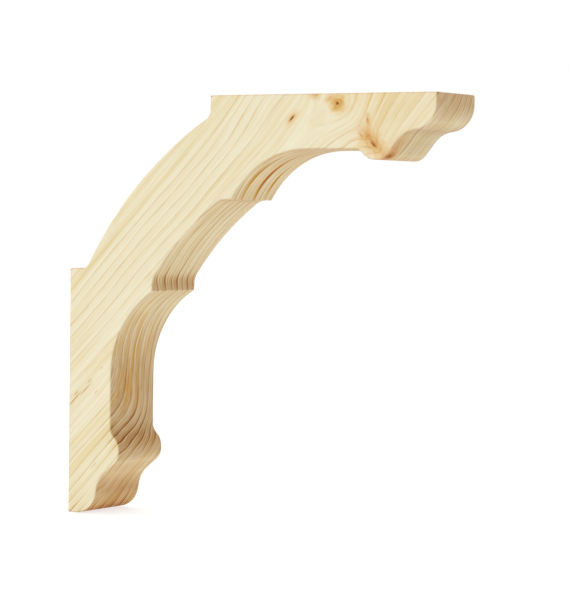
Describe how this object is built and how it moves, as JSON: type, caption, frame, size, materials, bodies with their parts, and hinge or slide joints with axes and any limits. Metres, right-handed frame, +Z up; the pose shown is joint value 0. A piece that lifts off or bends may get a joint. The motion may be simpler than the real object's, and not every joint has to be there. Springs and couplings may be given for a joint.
{
  "type": "wooden corbel bracket",
  "caption": "Right-angled pine corbel bracket for a shelf, with a scalloped inner edge, a bowed back and moulded ends.",
  "frame": {"origin": "middle of the flat face that bears on the wall", "axes": "+X out from the wall along the arm, +Y through the board's thickness, +Z up towards the shelf"},
  "size_m": [0.195, 0.035, 0.195],
  "materials": {
    "pine": "planed and sanded pine, unfinished, with pale orange-brown grain"
  },
  "bodies": {
    "root": {"corbel_bracket": "pine"}
  },
  "joints": []
}
